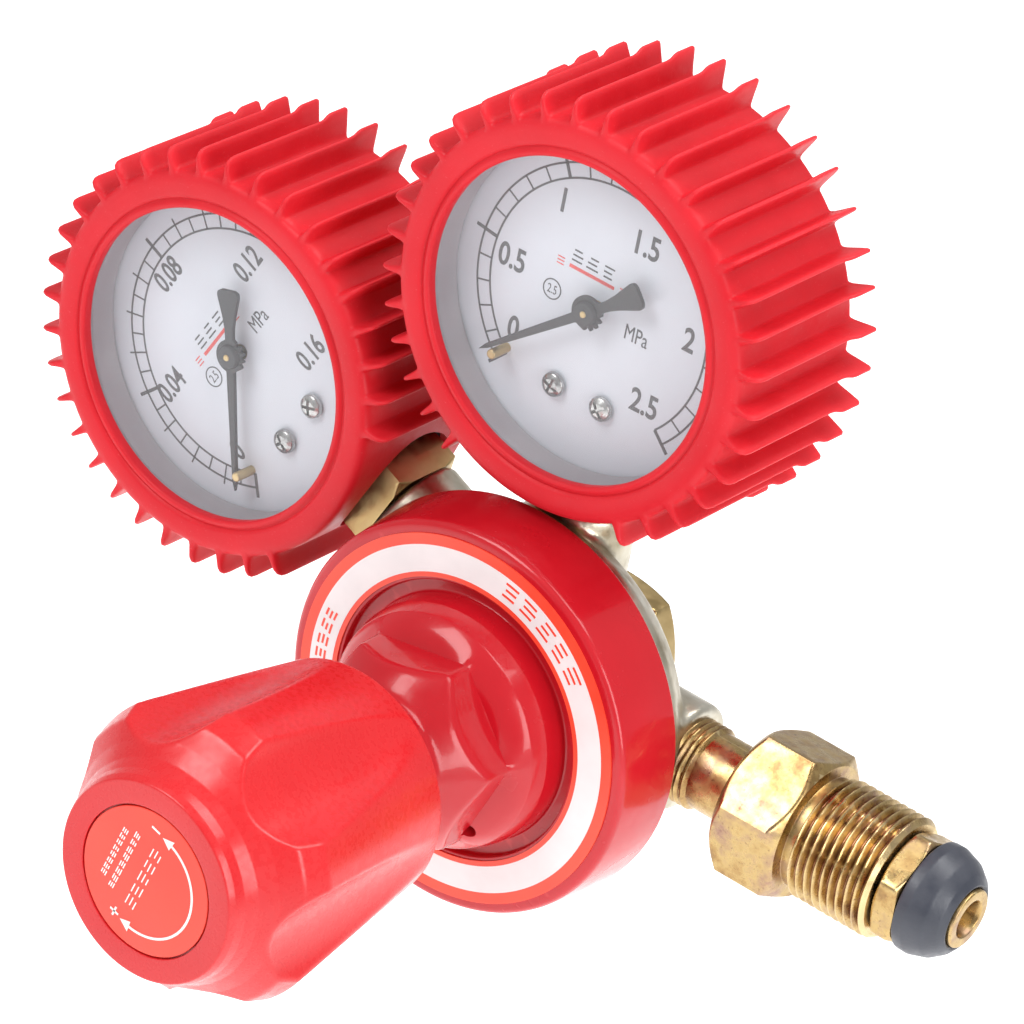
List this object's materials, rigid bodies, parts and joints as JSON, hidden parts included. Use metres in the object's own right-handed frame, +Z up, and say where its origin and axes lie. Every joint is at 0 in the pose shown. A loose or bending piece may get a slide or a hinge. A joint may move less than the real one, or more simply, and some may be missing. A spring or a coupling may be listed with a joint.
{
  "type": "gas pressure regulator",
  "caption": "Single-stage gas pressure regulator: fluted adjusting knob, round bonnet, bullnose union inlet, hose barb outlet and dial gauges in finned rubber boots.",
  "frame": {"origin": "centre of the inlet nose tip, on the inlet axis", "axes": "+X out of the inlet nose, +Y from the knob towards the rear plug, +Z up"},
  "size_m": [0.1968, 0.1284, 0.1704],
  "materials": {
    "casting": "pale nickel-coloured casting",
    "red_enamel": "glossy deep red enamel",
    "label": "orange-red printed label",
    "knob_plastic": "glossy red plastic",
    "boot_rubber": "satin red rubber",
    "black_rubber": "dark rubber",
    "brass": "yellow-passivated brass",
    "steel": "zinc-plated steel",
    "spring_steel": "oiled spring steel",
    "case_steel": "dark pressed steel",
    "window": "clear",
    "dial_plate": "white printed aluminium",
    "pointer_black": "matt black",
    "bronze": "sintered bronze"
  },
  "bodies": {
    "regulator": {"regulator_body": "casting", "bonnet": "red_enamel", "bonnet_label": "label", "slip_ring": "steel", "diaphragm": "black_rubber", "range_spring": "spring_steel", "valve_nozzle": "brass", "valve_spring": "spring_steel", "rear_plug": "brass", "rear_plug_gasket": "black_rubber", "inlet_nipple": "brass", "inlet_filter": "bronze", "nose_piece": "brass", "nose_seal": "black_rubber", "outlet_nipple": "brass", "hose_barb": "brass", "inlet_gauge_boot": "boot_rubber", "inlet_gauge_case": "case_steel", "inlet_gauge_bezel_ring": "case_steel", "inlet_gauge_lens": "window", "inlet_gauge_dial": "dial_plate", "inlet_gauge_dial_screw_a": "steel", "inlet_gauge_dial_screw_b": "steel", "inlet_gauge_stop_pin": "brass", "inlet_gauge_stem": "brass", "inlet_gauge_movement": "brass", "inlet_gauge_hairspring": "spring_steel", "outlet_gauge_boot": "boot_rubber", "outlet_gauge_case": "case_steel", "outlet_gauge_bezel_ring": "case_steel", "outlet_gauge_lens": "window", "outlet_gauge_dial": "dial_plate", "outlet_gauge_dial_screw_a": "steel", "outlet_gauge_dial_screw_b": "steel", "outlet_gauge_stop_pin": "brass", "outlet_gauge_stem": "brass", "outlet_gauge_movement": "brass", "outlet_gauge_hairspring": "spring_steel"},
    "spring_carriage": {"spring_seat": "steel"},
    "adjuster": {"adjusting_screw": "steel", "knob": "knob_plastic", "knob_label": "label", "knob_nut": "steel"},
    "valve": {"diaphragm_plate": "steel", "valve_pusher": "brass", "valve_poppet": "brass", "valve_seat_disc": "black_rubber"},
    "union_nut": {"union_nut": "brass"},
    "outlet_nut": {"outlet_nut": "brass"},
    "inlet_gauge_pointer": {"inlet_gauge_pointer": "pointer_black", "inlet_gauge_pinion": "brass"},
    "inlet_gauge_sector": {"inlet_gauge_sector_gear": "brass"},
    "inlet_gauge_tube": {"inlet_gauge_bourdon_tube": "brass"},
    "inlet_gauge_link": {"inlet_gauge_link": "brass"},
    "outlet_gauge_pointer": {"outlet_gauge_pointer": "pointer_black", "outlet_gauge_pinion": "brass"},
    "outlet_gauge_sector": {"outlet_gauge_sector_gear": "brass"},
    "outlet_gauge_tube": {"outlet_gauge_bourdon_tube": "brass"},
    "outlet_gauge_link": {"outlet_gauge_link": "brass"}
  },
  "joints": [
    {"name": "adjust_travel", "type": "slide", "parent": "regulator", "child": "spring_carriage", "axis": [0, 1, 0], "range_m": [0, 0.0075], "deforming": ["range_spring"]},
    {"name": "adjust_turn", "type": "hinge", "parent": "spring_carriage", "child": "adjuster", "pos_m": [-0.089, -0.0745, 0], "axis": [0, 1, 0], "range_deg": [0, 1800]},
    {"name": "valve_lift", "type": "slide", "parent": "regulator", "child": "valve", "axis": [0, 1, 0], "range_m": [0, 0.0008], "stiffness_N_per_m": 1000, "deforming": ["valve_spring", "diaphragm"]},
    {"name": "union_nut_turn", "type": "hinge", "parent": "regulator", "child": "union_nut", "pos_m": [-0.029, 0, 0], "axis": [1, 0, 0], "continuous": true},
    {"name": "outlet_nut_turn", "type": "hinge", "parent": "regulator", "child": "outlet_nut", "pos_m": [-0.12435, 0.0025, -0.03535], "axis": [-0.7071, 0, -0.7071], "continuous": true},
    {"name": "inlet_gauge_pointer_turn", "type": "hinge", "parent": "regulator", "child": "inlet_gauge_pointer", "pos_m": [-0.09026, -0.0075, 0.07219], "axis": [0, 1, 0], "range_deg": [0, 264], "deforming": ["inlet_gauge_hairspring"]},
    {"name": "inlet_gauge_sector_turn", "type": "hinge", "parent": "regulator", "child": "inlet_gauge_sector", "pos_m": [-0.09006, -0.0005, 0.06094], "axis": [0, -1, 0], "range_deg": [0, 33]},
    {"name": "inlet_gauge_tube_flex", "type": "hinge", "parent": "regulator", "child": "inlet_gauge_tube", "pos_m": [-0.08202, 0.0065, 0.05452], "axis": [0, -1, 0], "range_deg": [0, 7.39]},
    {"name": "inlet_gauge_link_turn", "type": "hinge", "parent": "inlet_gauge_tube", "child": "inlet_gauge_link", "pos_m": [-0.10108, 0.0005, 0.05882], "axis": [0, 1, 0], "range_deg": [0, 11.66]},
    {"name": "outlet_gauge_pointer_turn", "type": "hinge", "parent": "regulator", "child": "outlet_gauge_pointer", "pos_m": [-0.15777, -0.0075, 0.03091], "axis": [0, 1, 0], "range_deg": [0, 264], "deforming": ["outlet_gauge_hairspring"]},
    {"name": "outlet_gauge_sector_turn", "type": "hinge", "parent": "regulator", "child": "outlet_gauge_sector", "pos_m": [-0.14751, -0.0005, 0.0263], "axis": [0, -1, 0], "range_deg": [0, 33]},
    {"name": "outlet_gauge_tube_flex", "type": "hinge", "parent": "regulator", "child": "outlet_gauge_tube", "pos_m": [-0.13827, 0.0065, 0.03084], "axis": [0, -1, 0], "range_deg": [0, 7.39]},
    {"name": "outlet_gauge_link_turn", "type": "hinge", "parent": "outlet_gauge_tube", "child": "outlet_gauge_link", "pos_m": [-0.15029, 0.0005, 0.01542], "axis": [0, 1, 0], "range_deg": [0, 11.66]}
  ],
  "couplings": [
    {"joint": "adjust_turn", "follows": "adjust_travel", "rad_per_m": 4188.8},
    {"joint": "inlet_gauge_sector_turn", "follows": "inlet_gauge_pointer_turn", "ratio": 0.125},
    {"joint": "inlet_gauge_tube_flex", "follows": "inlet_gauge_pointer_turn", "ratio": 0.027976},
    {"joint": "inlet_gauge_link_turn", "follows": "inlet_gauge_pointer_turn", "ratio": 0.044129},
    {"joint": "outlet_gauge_sector_turn", "follows": "outlet_gauge_pointer_turn", "ratio": 0.125},
    {"joint": "outlet_gauge_tube_flex", "follows": "outlet_gauge_pointer_turn", "ratio": 0.027976},
    {"joint": "outlet_gauge_link_turn", "follows": "outlet_gauge_pointer_turn", "ratio": 0.044129}
  ]
}
